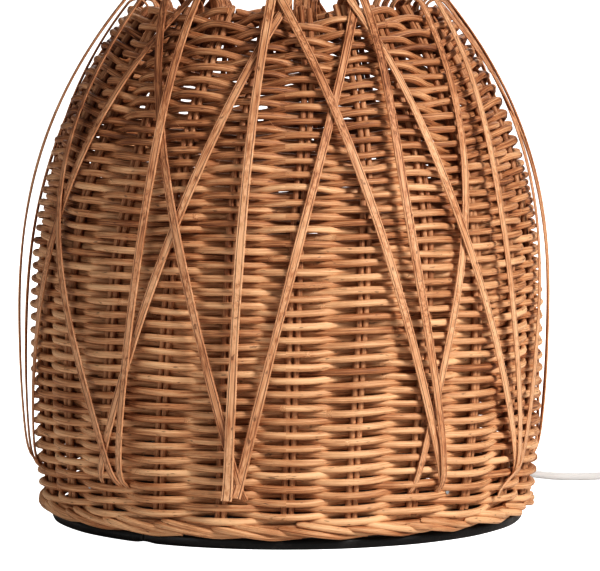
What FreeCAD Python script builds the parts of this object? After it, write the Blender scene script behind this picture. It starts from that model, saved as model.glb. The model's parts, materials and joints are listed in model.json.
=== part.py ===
"""Woven lamp shade on its base board, with lampholder, mains cord, in-line switch and plug.

Millimetres, +Z up, origin on the surface it stands on, under the middle of the shade.
Angles round the shade are in degrees from the front, which is -Y, positive towards +X.
"""
import FreeCAD, Part
import math
import os
import Sketcher
from FreeCAD import Placement, Rotation, Vector

doc = FreeCAD.newDocument("LampShade")
sheet = doc.addObject("Spreadsheet::Sheet", "Sizes")

SIZES = [
    # woven wall: outer face, from the weave's first row up to the rim
    ("BellyRadius", 168.5), ("BellyLevel", 115), ("RimRadius", 103), ("RimLevel", 335),
    ("WeaveRadius", 163.5), ("WeaveLevel", 18), ("DomePower", 2.65), ("SkirtPower", 2),
    ("WeaverDia", 4.6), ("Bands", 8),
    # stakes: round canes standing in pairs between the passes of the weavers
    ("StakeDia", 4), ("StakePairs", 24), ("StakeTurn", 1.5), ("StakeGap", 0.2),
    ("StakeRoom", 0.3), ("StakeProud", 2.5), ("PairsPerSet", 2),
    # flat cane strips that cross over the outside
    ("StripWidth", 5.5), ("StripThick", 1.5), ("StripRoom", 0.3), ("StripFootLevel", 35),
    ("StripTuck", 18),
    # plaited border under the weave
    ("BorderStep", 2), ("BorderWidth", 12.5), ("BorderRound", 4), ("BorderRoom", 0.2),
    # base board and the black edging round it
    ("BoardInset", 12.5), ("BoardThick", 6), ("EdgingFace", 3.5), ("EdgingFlange", 9),
    ("EdgingSole", 1), ("EdgingGap", 0.8), ("EdgingJoint", -35),
    # brackets that hold the weave to the board
    ("BracketCount", 4), ("BracketWidth", 14), ("BracketThick", 1.2), ("BracketLeg", 20),
    ("BracketRise", 32), ("BracketGap", 0.3), ("BracketTurn", 39),
    ("ScrewShank", 1.5), ("ScrewHole", 1.7), ("ScrewHead", 3), ("ScrewHeadThick", 1.6), ("ScrewGrip", 4.5),
    ("WeaveScrewGrip", 8),
    # lampholder
    ("FlangeRadius", 30), ("FlangeThick", 5), ("CupRadius", 20), ("CupBore", 16),
    ("CupHeight", 27), ("ShellRadius", 22), ("ShellWall", 4), ("ShellHeight", 36),
    ("InsertThick", 12), ("InsertRoom", 0.4), ("BulbRadius", 13.3), ("BulbDepth", 26),
    ("SleeveWall", 0.7), ("ContactRadius", 4), ("ContactThick", 3), ("HolderScrewPitch", 25),
    ("NotchSide", 2.1), ("NotchHead", 1.7), ("NotchDip", 0.75),
    # cord and its grip through the weave
    ("CordDia", 5.8), ("ExitAngle", 144), ("ExitLevel", 24), ("GripNeck", 4.6),
    ("GripRoom", 0.3), ("GripFlange", 7), ("GripFlangeThick", 2), ("GripTip", 3.6),
    ("GripRoot", 5.4), ("GripReach", 22), ("LeadRise", 20), ("LeadLand", 20),
    ("LeadLift", 0.2), ("LeadEntry", 1), ("LeadSway", 4), ("CordLift", 0.1),
    # in-line switch
    ("SwitchLength", 60), ("SwitchWidth", 26), ("SwitchBaseHigh", 9), ("SwitchCoverHigh", 8),
    ("SwitchWall", 2), ("SwitchEndWall", 8), ("SwitchRound", 5), ("SwitchInlet", 7), ("RockerLength", 18),
    ("RockerWidth", 9), ("RockerDeep", 6), ("RockerTilt", 8), ("RockerRoom", 0.6),
    ("TrunnionRadius", 1), ("TrunnionReach", 1.4), ("TrunnionRoom", 0.06), ("PivotDepth", 2.1),
    ("RockerDip", 0.7), ("RockerProud", 1.9), ("RockerDraft", 1.08),
    # coil of cord, and the plug on its end
    ("CoilOuter", 45), ("CoilInner", 18), ("CoilHigh", 12), ("PlugLength", 36),
    ("PlugWidth", 33), ("PlugTail", 13), ("PlugThick", 14), ("PinRadius", 2),
    ("PinReach", 19), ("PinPitch", 18.6),
]
for row, (name, value) in enumerate(SIZES, start=1):
    sheet.set(f"A{row}", name)
    sheet.set(f"B{row}", str(value))
    sheet.setAlias(f"B{row}", name)
doc.recompute()


def size(name):
    """A driving dimension, read back from the sheet."""
    return float(sheet.get(name))


def number(text):
    """The value of an expression over the sheet."""
    return float(sheet.evalExpression(text))


NODES = []


def node(thing, label):
    """Gives a finished sub-part its name and lists it for export."""
    thing.Label = label
    NODES.append(thing)
    return thing


def from_shape(label, shape, placement=None):
    """A sub-part whose shape Part's own functions make."""
    thing = doc.addObject("Part::Feature", label)
    thing.Shape = shape
    if placement is not None:
        thing.Placement = placement * shape.Placement
    return node(thing, label)


def around(angle, x=0.0, y=0.0, z=0.0):
    """A Placement turned about Z, from the front, and then moved."""
    return Placement(Vector(x, y, z), Rotation(Vector(0, 0, 1), angle))


def at_angle(radius, angle, level):
    """The point at a radius and an angle from the front."""
    turn = math.radians(angle)
    return Vector(radius * math.sin(turn), -radius * math.cos(turn), level)


# ---------------------------------------------------------------- sketches and bodies

def polygon(body, role, corners, offset=None):
    """A closed sketch whose corners are pairs of expressions over the sheet."""
    sketch = body.newObject("Sketcher::SketchObject", body.Name + "Sketch")
    plane = next(f for f in body.Origin.OriginFeatures if f.Role == role)
    sketch.AttachmentSupport = [(plane, "")]
    sketch.MapMode = "FlatFace"
    if offset is not None:
        sketch.setExpression("AttachmentOffset.Base.z", offset)
    places = [Vector(number(x), number(y), 0) for x, y in corners]
    count = len(places)
    for i, place in enumerate(places):
        sketch.addGeometry(Part.LineSegment(place, places[(i + 1) % count]), False)
    for i in range(count):
        sketch.addConstraint(Sketcher.Constraint("Coincident", i, 2, (i + 1) % count, 1))
    for i, (pair, place) in enumerate(zip(corners, places)):
        for kind, text, value in (("DistanceX", pair[0], place.x), ("DistanceY", pair[1], place.y)):
            if abs(value) < 1e-9:
                lone = "PointOnObject"
                axis = -2 if kind == "DistanceX" else -1
                sketch.addConstraint(Sketcher.Constraint(lone, i, 1, axis))
                continue
            made = sketch.addConstraint(Sketcher.Constraint(kind, -1, 1, i, 1, value))
            sketch.setExpression(f"Constraints[{made}]", text)
    return sketch


def turned(label, corners):
    """A body revolved about Z from a polygon of (radius, level) expressions."""
    body = doc.addObject("PartDesign::Body", label + "_body")
    sketch = polygon(body, "XZ_Plane", corners)
    turn = body.newObject("PartDesign::Revolution", label + "_turn")
    turn.Profile = sketch
    turn.ReferenceAxis = (sketch, ["V_Axis"])
    turn.Angle = 360
    doc.recompute()
    return body


def padded(label, corners, length, level="0"):
    """A body padded upwards from a polygon of (x, y) expressions at a level."""
    body = doc.addObject("PartDesign::Body", label + "_body")
    sketch = polygon(body, "XY_Plane", corners, level)
    pad = body.newObject("PartDesign::Pad", label + "_pad")
    pad.Profile = sketch
    pad.setExpression("Length", length)
    doc.recompute()
    return body


def cylinder(name, radius, height, level, x="0", y="0"):
    """A Part cylinder along Z bound to expressions."""
    thing = doc.addObject("Part::Cylinder", name)
    thing.setExpression("Radius", radius)
    thing.setExpression("Height", height)
    thing.setExpression("Placement.Base.x", x)
    thing.setExpression("Placement.Base.y", y)
    thing.setExpression("Placement.Base.z", level)
    return thing


def box(name, length, width, height, x, y, level):
    """A Part box bound to expressions, with its low corner at x, y, level."""
    thing = doc.addObject("Part::Box", name)
    for prop, text in (("Length", length), ("Width", width), ("Height", height)):
        thing.setExpression(prop, text)
    thing.setExpression("Placement.Base.x", x)
    thing.setExpression("Placement.Base.y", y)
    thing.setExpression("Placement.Base.z", level)
    return thing


def cut(name, base, tools):
    """A Part cut of one or more tools from a base."""
    tool = tools[0]
    if len(tools) > 1:
        tool = doc.addObject("Part::MultiFuse", name + "_tools")
        tool.Shapes = tools
    thing = doc.addObject("Part::Cut", name)
    thing.Base = base
    thing.Tool = tool
    return thing


# ---------------------------------------------------------------- the shade's outline

def outline(level):
    """(radius, slope) of the weave's outer face at a level: a skirt below the belly, a dome above."""
    belly, foot, rim = size("BellyRadius"), size("WeaveRadius"), size("RimRadius")
    middle = size("BellyLevel")
    if level < middle:
        span, drop, power = middle - size("WeaveLevel"), belly - foot, size("SkirtPower")
        share = (middle - level) / span
        return belly - drop * share ** power, drop * power * share ** (power - 1) / span
    span, drop, power = size("RimLevel") - middle, belly - rim, size("DomePower")
    share = (level - middle) / span
    return belly - drop * share ** power, -drop * power * share ** (power - 1) / span


def wall_point(level, depth):
    """(radius, level) of the point a depth inside the outer face, square to it."""
    radius, slope = outline(level)
    length = math.hypot(1, slope)
    return radius - depth / length, level + depth * slope / length


def wall_curve(low, high, depth, points=9):
    """The outline a depth inside the outer face between two levels, in the XZ plane."""
    places = []
    for i in range(points):
        radius, level = wall_point(low + (high - low) * i / (points - 1), depth)
        places.append(Vector(radius, 0, level))
    curve = Part.BSplineCurve()
    curve.interpolate(places)
    return curve.toShape()


def wall_ring(low, high, outer, inner):
    """A ring of the wall between two levels and two depths, revolved about Z."""
    face_out, face_in = wall_curve(low, high, outer), wall_curve(low, high, inner)
    ends_out = [v.Point for v in (face_out.Vertexes[0], face_out.Vertexes[-1])]
    ends_in = [v.Point for v in (face_in.Vertexes[0], face_in.Vertexes[-1])]
    bottom = Part.LineSegment(ends_in[0], ends_out[0]).toShape()
    top = Part.LineSegment(ends_out[1], ends_in[1]).toShape()
    face = Part.Face(Part.Wire(Part.__sortEdges__([face_out, top, face_in, bottom])))
    return face.revolve(Vector(), Vector(0, 0, 1), 360)


WALL = 2 * size("WeaverDia") + size("StakeDia")
BORDER_OUTER = "(Sizes.WeaveRadius - Sizes.BorderStep)"
BORDER_INNER = "(Sizes.WeaveRadius - Sizes.BorderStep - Sizes.BorderWidth)"
BOARD_RADIUS = "(Sizes.WeaveRadius - Sizes.BoardInset)"
NOTCH_WIDE = "(Sizes.CordDia + 2 * Sizes.NotchSide)"  # the way in for the lead, under the holder
NOTCH_HIGH = "(Sizes.CordDia + Sizes.NotchHead)"
PAIRS = int(size("StakePairs"))
STAKE_STEP = 360.0 / PAIRS


def stake_slots(low, high):
    """The pockets between the weavers' passes in which the pairs of stakes stand."""
    room, dia = size("StakeRoom"), size("StakeDia")
    layer = wall_ring(low, high, size("WeaverDia") - room, size("WeaverDia") + dia + room)
    wide = 2 * dia + size("StakeGap") + 2 * room
    reach = size("BellyRadius") + WALL
    blade = Part.makeBox(wide, reach, high + WALL, Vector(-wide / 2, -reach, -WALL))
    blades = [
        blade.rotated(Vector(), Vector(0, 0, 1), size("StakeTurn") + i * STAKE_STEP)
        for i in range(PAIRS)
    ]
    return [layer.common(b) for b in blades]


def radial_rod(radius, start, length, angle, level):
    """A cylinder that points straight out of the shade at an angle and a level."""
    out = at_angle(1, angle, 0)
    return Part.makeCylinder(radius, length, at_angle(start, angle, level), out)


def bracket_angles():
    count = int(size("BracketCount"))
    return [size("BracketTurn") + 360.0 / count * i for i in range(count)]


BOARD_TOP = size("EdgingSole") + size("BoardThick")
BRACKET_FACE = number(BORDER_INNER) - size("BracketGap")
BRACKET_SCREW_LEVEL = BOARD_TOP + size("BracketRise") - size("BracketWidth") / 2


def weave_screw_start():
    """Radius of the inner face of the weave at the level of the brackets' upper screws."""
    return outline(BRACKET_SCREW_LEVEL)[0] - WALL


def weave_bands():
    """The woven wall, in bands of courses. Each is a ring with a pocket for every pair of stakes."""
    bands, low, high = int(size("Bands")), size("WeaveLevel"), size("RimLevel")
    step = (high - low) / bands
    for i in range(bands):
        bottom, top = low + i * step, low + (i + 1) * step
        ring = wall_ring(bottom, top, 0, WALL)
        past = 0.5 * step
        slot_low = max(bottom - past, 0.5 * low)
        slots = stake_slots(slot_low, min(top + past, high + 0.2 * past))
        tools = list(slots)
        if bottom < size("ExitLevel") < top:
            hole = size("GripNeck") + size("GripRoom")
            inside = BRACKET_FACE - WALL
            tools.append(radial_rod(hole, inside, 3 * WALL, size("ExitAngle"), size("ExitLevel")))
        if bottom < BRACKET_SCREW_LEVEL < top:
            for angle in bracket_angles():
                reach = weave_screw_start() + size("WeaveScrewGrip") - BRACKET_FACE
                tools.append(radial_rod(size("ScrewShank"), BRACKET_FACE, reach, angle,
                                        BRACKET_SCREW_LEVEL))
        from_shape(f"weave_band_{i + 1}", ring.cut(tools))


def stake_sets():
    """The stakes: pairs of round canes that follow the middle of the wall up past the rim."""
    depth = WALL / 2
    spine = wall_curve(size("WeaveLevel") + 0.3, size("RimLevel"), depth, 13)
    tip = spine.Vertexes[-1].Point
    _, slope = outline(size("RimLevel"))
    rise = Vector(slope, 0, 1).normalize() * size("StakeProud")
    path = Part.Wire([spine, Part.LineSegment(tip, tip + rise).toShape()])
    start = spine.Vertexes[0].Point
    along = spine.tangentAt(spine.FirstParameter)
    ring = Part.Wire(Part.Circle(start, along, size("StakeDia") / 2).toShape())
    rod = path.makePipeShell([ring], True, False)
    aside = (size("StakeDia") + size("StakeGap")) / 2
    pair = []
    for side in (-1, 1):
        copy = rod.copy()
        copy.translate(Vector(0, side * aside, 0))
        copy.rotate(Vector(), Vector(0, 0, 1), -90)
        pair.append(copy)
    per_set = int(size("PairsPerSet"))
    rods = []
    for i in range(per_set):
        for one in pair:
            rods.append(one.rotated(Vector(), Vector(0, 0, 1), i * STAKE_STEP))
    bundle = Part.makeCompound(rods)
    for i in range(PAIRS // per_set):
        turn = size("StakeTurn") + i * per_set * STAKE_STEP
        from_shape(f"stake_set_{i + 1:02d}", bundle, around(turn))


# ---------------------------------------------------------------- crossing strips

# Where the strips start at the foot and end at the rim, for each of the ten bunches, in
# degrees: the strip that leans left, the upright one and the one that leans right.
FEET = [
    (-84, -83, -81), (-40, -38, -45.5), (-9, -12.2, -10.6), (36, 35.5, 28.5), (61, 60, 63.5),
    (98, 100, 95.5), (134, 136.5, 131), (171, 173, 168.5), (207, 209, 204), (242, 244.5, 240),
]
RIMS = [
    (-64, -79, -88), (-47, -31.5, -37), (-1.5, -5, 0.5), (22.5, 27, 24.5), (67.5, 63.5, 56),
    (96, 99, 91), (133, 137, 129.5), (172, 175.5, 169), (209, 213, 206), (247, 243, 250),
]
# How far each strip sways aside, in degrees, above the middle of its height.
SWAYS = [
    (-2, 1.5, 2), (-9, 4, 2), (1, 0, -0.5), (-0.5, -5.5, 2.2), (-4.8, -8.5, 0),
    (2, -3, 1), (-2, 3, 1.5), (2.5, -2, -1.5), (-1.5, 4, 2), (3, -3.5, 1),
]
SWAY_RISE = 1.4  # power of the height that sets where the sway is widest
LEANS = (-1, 0, 1)
LAYERS = {1: 0, -1: 1, 0: 2}  # right-leaning strips lie lowest, upright ones on top


def strip_route(foot, rim, sway, lift, steps=24, turn_steps=8):
    """Stations of a strip: (place, along, outward).

    It turns round the shade at a rate that goes with one over the radius squared, swaying aside
    by a sine of its height, passes over the rim in a half circle about the middle of the wall
    and ends inside.
    """
    low, high = size("StripFootLevel"), size("RimLevel")
    levels = [low + (high - low) * i / steps for i in range(steps + 1)]
    turns = [0.0]
    for a, b in zip(levels, levels[1:]):
        radius, slope = outline((a + b) / 2)
        turns.append(turns[-1] + math.hypot(1, slope) * (b - a) / radius ** 2)
    profile = []
    for z, turn in zip(levels, turns):
        aside = sway * math.sin(math.pi * ((z - low) / (high - low)) ** SWAY_RISE)
        profile.append((*wall_point(z, -lift), foot + (rim - foot) * turn / turns[-1] + aside))
    middle = wall_point(high, WALL / 2)
    _, slope = outline(high)
    lean = math.atan2(-slope, 1)
    arm = WALL / 2 + lift
    for i in range(1, turn_steps + 1):
        angle = lean + math.pi * i / turn_steps
        profile.append((middle[0] + arm * math.cos(angle), middle[1] + arm * math.sin(angle), rim))
    last = wall_point(high - size("StripTuck"), WALL + lift)
    profile.append((last[0], last[1], rim))
    places = [at_angle(r, angle, z) for r, z, angle in profile]
    stations = []
    for i, place in enumerate(places):
        ahead, behind = places[min(i + 1, len(places) - 1)], places[max(i - 1, 0)]
        along = (ahead - behind).normalize()
        turn = math.radians(profile[i][2])
        r1, z1, _ = profile[min(i + 1, len(profile) - 1)]
        r0, z0, _ = profile[max(i - 1, 0)]
        outward_rz = Vector(z1 - z0, 0, r0 - r1).normalize()
        out = Vector(outward_rz.x * math.sin(turn), -outward_rz.x * math.cos(turn), outward_rz.z)
        out = (out - along * out.dot(along)).normalize()
        stations.append((place, along, out))
    return stations


def strip(foot, rim, sway, layer):
    """One flat cane strip as a loft of its section."""
    wide, thick, room = size("StripWidth"), size("StripThick"), size("StripRoom")
    lift = room + thick / 2 + layer * (thick + room)
    sections = []
    for place, along, out in strip_route(foot, rim, sway, lift):
        side = along.cross(out).normalize()
        corners = [
            place + side * (a * wide / 2) + out * (b * thick / 2)
            for a, b in ((-1, -1), (1, -1), (1, 1), (-1, 1))
        ]
        sections.append(Part.makePolygon(corners + corners[:1]))
    return Part.makeLoft(sections, True, True)


def strip_bunches():
    """Ten bunches of three strips. Each bunch fans out to three neighbouring places on the rim."""
    count = len(FEET)
    for i, (feet, sways) in enumerate(zip(FEET, SWAYS)):
        solids = []
        for lean, foot, sway in zip(LEANS, feet, sways):
            place = i + lean
            rim = RIMS[place % count][LEANS.index(lean)] + 360 * (place // count)
            solids.append(strip(foot, rim, sway, LAYERS[lean]))
        from_shape(f"strip_bunch_{i + 1:02d}", Part.makeCompound(solids))


# ---------------------------------------------------------------- border, board and edging

def foot_border():
    low = "Sizes.EdgingSole + Sizes.BoardThick + Sizes.BorderRoom"
    high = "Sizes.WeaveLevel - Sizes.BorderRoom"
    cut_in = "Sizes.BorderRound"
    body = turned("foot_border", [
        (f"{BORDER_INNER} + {cut_in}", low), (f"{BORDER_OUTER} - {cut_in}", low),
        (BORDER_OUTER, f"{low} + {cut_in}"), (BORDER_OUTER, f"{high} - {cut_in}"),
        (f"{BORDER_OUTER} - {cut_in}", high), (f"{BORDER_INNER} + {cut_in}", high),
        (BORDER_INNER, f"{high} - {cut_in}"), (BORDER_INNER, f"{low} + {cut_in}"),
    ])
    node(body, "foot_border")


def board_screw_places():
    """(x, y) of every screw that goes down into the board."""
    pitch = size("HolderScrewPitch")
    places = [(pitch, 0.0), (-pitch, 0.0)]
    radius = BRACKET_FACE - size("BracketLeg") / 2 - size("BracketThick")
    for angle in bracket_angles():
        place = at_angle(radius, angle, 0)
        places.append((place.x, place.y))
    return places


def base_board():
    blank = cylinder("board_blank", BOARD_RADIUS, "Sizes.BoardThick", "Sizes.EdgingSole")
    holes = []
    for i, (x, y) in enumerate(board_screw_places()):
        holes.append(cylinder(
            f"board_pilot_{i}", "Sizes.ScrewShank", "Sizes.ScrewGrip",
            "Sizes.EdgingSole + Sizes.BoardThick - Sizes.ScrewGrip", str(x), str(y),
        ))
    node(cut("base_board", blank, holes), "base_board")


def edging_strip():
    """L-shaped black edging round the board, with its two ends butted."""
    inner, top = f"{BOARD_RADIUS} - Sizes.EdgingFlange", "Sizes.EdgingSole + Sizes.BoardThick"
    outer = f"{BOARD_RADIUS} + Sizes.EdgingFace"
    ring = turned("edging_ring", [
        (inner, "0"), (outer, "0"), (outer, top),
        (BOARD_RADIUS, top), (BOARD_RADIUS, "Sizes.EdgingSole"),
        (inner, "Sizes.EdgingSole"),
    ])
    gap = box("edging_gap", "Sizes.EdgingGap", "Sizes.EdgingFlange + 3 * Sizes.EdgingFace",
              "2 * Sizes.EdgingSole + 2 * Sizes.BoardThick", "0", "0", "-Sizes.EdgingSole")
    out = at_angle(number(BOARD_RADIUS) + 2 * size("EdgingFace"), size("EdgingJoint"), 0)
    gap.setExpression("Placement.Base.x", None)
    gap.setExpression("Placement.Base.y", None)
    gap.Placement = around(size("EdgingJoint"), out.x, out.y, -size("EdgingSole"))
    node(cut("edging_strip", ring, [gap]), "edging_strip")


def brackets():
    """Steel angles on the board, inside the weave."""
    thick, leg, wide = size("BracketThick"), size("BracketLeg"), size("BracketWidth")
    rise, face = size("BracketRise"), BRACKET_FACE
    foot = Part.makeBox(wide, leg, thick, Vector(-wide / 2, -face, BOARD_TOP))
    back = Part.makeBox(wide, thick, rise, Vector(-wide / 2, -face, BOARD_TOP))
    angle = foot.fuse(back)
    screw_radius = face - leg / 2 - thick
    angle = angle.cut(Part.makeCylinder(size("ScrewHole"), 3 * thick,
                                        Vector(0, -screw_radius, BOARD_TOP - thick)))
    angle = angle.cut(radial_rod(size("ScrewHole"), face - 3 * thick, 4 * thick, 0,
                                 BRACKET_SCREW_LEVEL)).removeSplitter()
    turned_copies = [angle.rotated(Vector(), Vector(0, 0, 1), a) for a in bracket_angles()]
    from_shape("base_brackets", Part.makeCompound(turned_copies))


def screw(grip, under):
    """A pan-head screw along -Z: its head sits on z = 0, and under is what it clamps."""
    head = Part.makeCylinder(size("ScrewHead"), size("ScrewHeadThick"))
    edge = max(head.Edges, key=lambda e: e.CenterOfMass.z)
    head = head.makeFillet(0.4 * size("ScrewHeadThick"), [edge])
    shank = Part.makeCylinder(size("ScrewShank"), grip + under, Vector(0, 0, -grip - under))
    return head.fuse(shank)


def bracket_screws():
    thick = size("BracketThick")
    down = screw(size("ScrewGrip"), thick)
    reach = weave_screw_start() + size("WeaveScrewGrip") - BRACKET_FACE
    side = screw(reach, thick)
    side.rotate(Vector(), Vector(1, 0, 0), 90)
    side.rotate(Vector(), Vector(0, 0, 1), 180)
    solids = []
    for x, y in board_screw_places()[2:]:
        copy = down.copy()
        copy.translate(Vector(x, y, BOARD_TOP + thick))
        solids.append(copy)
    for angle in bracket_angles():
        copy = side.copy()
        copy.translate(Vector(0, -(BRACKET_FACE - thick), BRACKET_SCREW_LEVEL))
        solids.append(copy.rotated(Vector(), Vector(0, 0, 1), angle))
    from_shape("bracket_screws", Part.makeCompound(solids))


# ---------------------------------------------------------------- lampholder

FLOOR = "(Sizes.EdgingSole + Sizes.BoardThick)"
CUP_TOP = f"({FLOOR} + Sizes.CupHeight)"
INSERT_LOW = f"({CUP_TOP} - Sizes.InsertThick / 2)"
INSERT_TOP = f"({CUP_TOP} + Sizes.InsertThick / 2)"


def holder_base():
    """Cup with a wide flange, two screw holes and a notch for the lead."""
    cup = turned("holder_cup", [
        ("0", FLOOR), ("Sizes.FlangeRadius", FLOOR),
        ("Sizes.FlangeRadius", f"{FLOOR} + Sizes.FlangeThick"),
        ("Sizes.CupRadius", f"{FLOOR} + Sizes.FlangeThick"),
        ("Sizes.CupRadius", CUP_TOP), ("Sizes.CupBore", CUP_TOP),
        ("Sizes.CupBore", f"{FLOOR} + Sizes.FlangeThick / 2"),
        ("0", f"{FLOOR} + Sizes.FlangeThick / 2"),
    ])
    holes = [
        cylinder(f"holder_hole_{side}", "Sizes.ScrewHole", "3 * Sizes.FlangeThick",
                 f"{FLOOR} - Sizes.FlangeThick", f"{side} * Sizes.HolderScrewPitch")
        for side in (-1, 1)
    ]
    notch = box("holder_notch", NOTCH_WIDE, "2 * Sizes.FlangeRadius",
                NOTCH_HIGH, "0", "0", f"{FLOOR} - Sizes.NotchDip")
    notch.setExpression("Placement.Base.x", None)
    notch.setExpression("Placement.Base.y", None)
    corner = Vector(-number(NOTCH_WIDE) / 2, -2.4 * size("FlangeRadius"), 0)
    turn = around(size("ExitAngle"))
    start = turn.multVec(corner)
    level = BOARD_TOP - size("NotchDip")
    notch.Placement = around(size("ExitAngle"), start.x, start.y, level)
    node(cut("holder_base", cup, holes + [notch]), "holder_base")


def holder_insides():
    """Shell, porcelain insert, threaded sleeve and centre contact."""
    wall_in = "(Sizes.ShellRadius - Sizes.ShellWall)"
    top = f"({CUP_TOP} + Sizes.ShellHeight)"
    node(turned("holder_shell", [
        (wall_in, CUP_TOP), ("Sizes.ShellRadius", CUP_TOP), ("Sizes.ShellRadius", top),
        (wall_in, top),
    ]), "holder_shell")
    insert = "(Sizes.CupBore - Sizes.InsertRoom)"
    lip = f"({wall_in} - Sizes.InsertRoom)"
    recess = "(Sizes.ContactRadius + Sizes.InsertRoom)"
    seat = f"({INSERT_TOP} - Sizes.ContactThick - Sizes.InsertRoom)"
    node(turned("porcelain_insert", [
        ("0", INSERT_LOW), (insert, INSERT_LOW), (insert, CUP_TOP), (lip, CUP_TOP),
        (lip, INSERT_TOP), (recess, INSERT_TOP), (recess, seat), ("0", seat),
    ]), "porcelain_insert")
    outer = "(Sizes.BulbRadius + Sizes.SleeveWall)"
    node(turned("screw_sleeve", [
        ("Sizes.BulbRadius", INSERT_TOP), (lip, INSERT_TOP),
        (lip, f"{INSERT_TOP} + Sizes.SleeveWall"), (outer, f"{INSERT_TOP} + Sizes.SleeveWall"),
        (outer, f"{INSERT_TOP} + Sizes.BulbDepth"),
        ("Sizes.BulbRadius", f"{INSERT_TOP} + Sizes.BulbDepth"),
    ]), "screw_sleeve")
    node(turned("centre_contact", [
        ("0", seat), ("Sizes.ContactRadius", seat),
        ("0.7 * Sizes.ContactRadius", f"{seat} + Sizes.ContactThick"),
        ("0", f"{seat} + Sizes.ContactThick"),
    ]), "centre_contact")


def holder_screws():
    one = screw(size("ScrewGrip"), size("FlangeThick"))
    copies = []
    for x, y in board_screw_places()[:2]:
        copy = one.copy()
        copy.translate(Vector(x, y, BOARD_TOP + size("FlangeThick")))
        copies.append(copy)
    from_shape("holder_screws", Part.makeCompound(copies))


# ---------------------------------------------------------------- cord

ARC_SHARE = 0.45  # of the shorter run at a corner, taken up by the arc there


def tube(points, label):
    """A cord's plain tube: straight runs joined by tangent arcs as large as the runs allow."""
    radius = size("CordDia") / 2
    edges, last, length, bends = [], points[0], 0.0, []
    for a, b, c in zip(points, points[1:], points[2:]):
        back, on = (a - b), (c - b)
        turn = math.pi - back.getAngle(on)
        run = min(back.Length, on.Length)
        bend = ARC_SHARE * run / math.tan(turn / 2)
        bends.append(round(bend, 1))
        trim = ARC_SHARE * run
        start, end = b + back.normalize() * trim, b + on.normalize() * trim
        heart = b + (back + on).normalize() * (math.hypot(bend, trim))
        middle = heart + (b - heart).normalize() * bend
        edges.append(Part.LineSegment(last, start).toShape())
        edges.append(Part.Arc(start, middle, end).toShape())
        length += (start - last).Length + bend * turn
        last = end
    edges.append(Part.LineSegment(last, points[-1]).toShape())
    length += (points[-1] - last).Length
    first = points[1] - points[0]
    ring = Part.Wire(Part.Circle(points[0], first, radius).toShape())
    solid = Part.Wire(edges).makePipeShell([ring], True, False)
    ratio = solid.Volume / (math.pi * radius ** 2 * length)
    print(f"{label}: length {length:.0f}, radii {bends}, volume ratio {ratio:.4f}")
    if not 0.98 < ratio < 1.02:
        raise ValueError(f"{label} has the wrong volume")
    return solid


GRIP_START = BRACKET_FACE - size("GripFlangeThick")
GRIP_END = size("WeaveRadius") + size("GripReach")


def cord_grip():
    """Tapered sleeve through the weave that keeps the cord from kinking."""
    neck, flange = size("GripNeck"), size("GripFlange")
    widest = outline(size("ExitLevel") + size("GripRoot"))[0]
    inner, outer = BRACKET_FACE, widest + size("GripRoom")
    profile = [
        Vector(0, 0, GRIP_START), Vector(flange, 0, GRIP_START), Vector(flange, 0, inner),
        Vector(neck, 0, inner), Vector(neck, 0, outer), Vector(size("GripRoot"), 0, outer),
        Vector(size("GripTip"), 0, GRIP_END), Vector(0, 0, GRIP_END),
    ]
    face = Part.Face(Part.makePolygon(profile + profile[:1]))
    solid = face.revolve(Vector(), Vector(0, 0, 1), 360)
    out = at_angle(1, size("ExitAngle"), 0)
    turn = Placement(Vector(0, 0, size("ExitLevel")), Rotation(Vector(0, 0, 1), out))
    solid.transformShape(turn.toMatrix(), True)
    from_shape("cord_grip", solid)


def inner_lead():
    """The lead inside: along the board from the lampholder, then up to the grip."""
    low = BOARD_TOP + size("CordDia") / 2 + size("LeadLift")
    angle, high = size("ExitAngle"), size("ExitLevel")
    bend_start = GRIP_START - size("LeadRise") - size("LeadLand")
    points = [
        at_angle(size("CupBore") + size("LeadEntry"), angle, low),
        at_angle(bend_start / 2, angle + size("LeadSway"), low),
        at_angle(bend_start, angle, low), at_angle(bend_start + size("LeadRise"), angle, high),
        at_angle(GRIP_START, angle, high),
    ]
    from_shape("inner_lead", tube(points, "inner_lead"))


LIE = size("CordDia") / 2 + size("CordLift")  # height of the centre of a cord that lies on the surface
COIL_CENTRE = Vector(300, 72, 0)
SWITCH_HEADING = -10.0  # degrees from +X
SWITCH_START = Vector(240, 148.6, size("SwitchInlet"))
SWITCH_AHEAD = Vector(math.cos(math.radians(SWITCH_HEADING)),
                      math.sin(math.radians(SWITCH_HEADING)), 0)
SWITCH_END = SWITCH_START + SWITCH_AHEAD * size("SwitchLength")
PLUG_REAR = Vector(343, 16, size("PlugThick") / 2)


def cord_runs():
    """The cord outside: from the grip to the switch, on to the coil, and from the coil to the plug."""
    exit_point = at_angle(GRIP_END, size("ExitAngle"), size("ExitLevel"))
    to_switch = [
        exit_point, Vector(119.5, 164, 23.2), Vector(134.5, 171.5, 17.5),
        Vector(151.5, 171.5, 9.8), Vector(168.5, 166.5, 4.4), Vector(187, 160, LIE),
        Vector(205, 156.3, LIE), Vector(222.5, 152.5, 4.2), SWITCH_START,
    ]
    to_coil = [
        SWITCH_END, Vector(315, 134.6, 4.6), Vector(330.5, 125, LIE), Vector(340, 108, LIE),
        Vector(342, 88, LIE),
    ]
    to_plug = [Vector(341, 54, 8.8), PLUG_REAR]
    from_shape("cord_to_switch", tube(to_switch, "cord_to_switch"))
    from_shape("cord_to_coil", tube(to_coil, "cord_to_coil"))
    radius = size("CordDia") / 2
    tail = Part.makeCylinder(radius, (to_plug[1] - to_plug[0]).Length, to_plug[0],
                             to_plug[1] - to_plug[0])
    from_shape("cord_to_plug", tail)


def cord_coil():
    outer = Part.makeCylinder(size("CoilOuter"), size("CoilHigh"), COIL_CENTRE)
    inner = Part.makeCylinder(size("CoilInner"), size("CoilHigh"), COIL_CENTRE)
    from_shape("cord_coil", outer.cut(inner))


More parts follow.
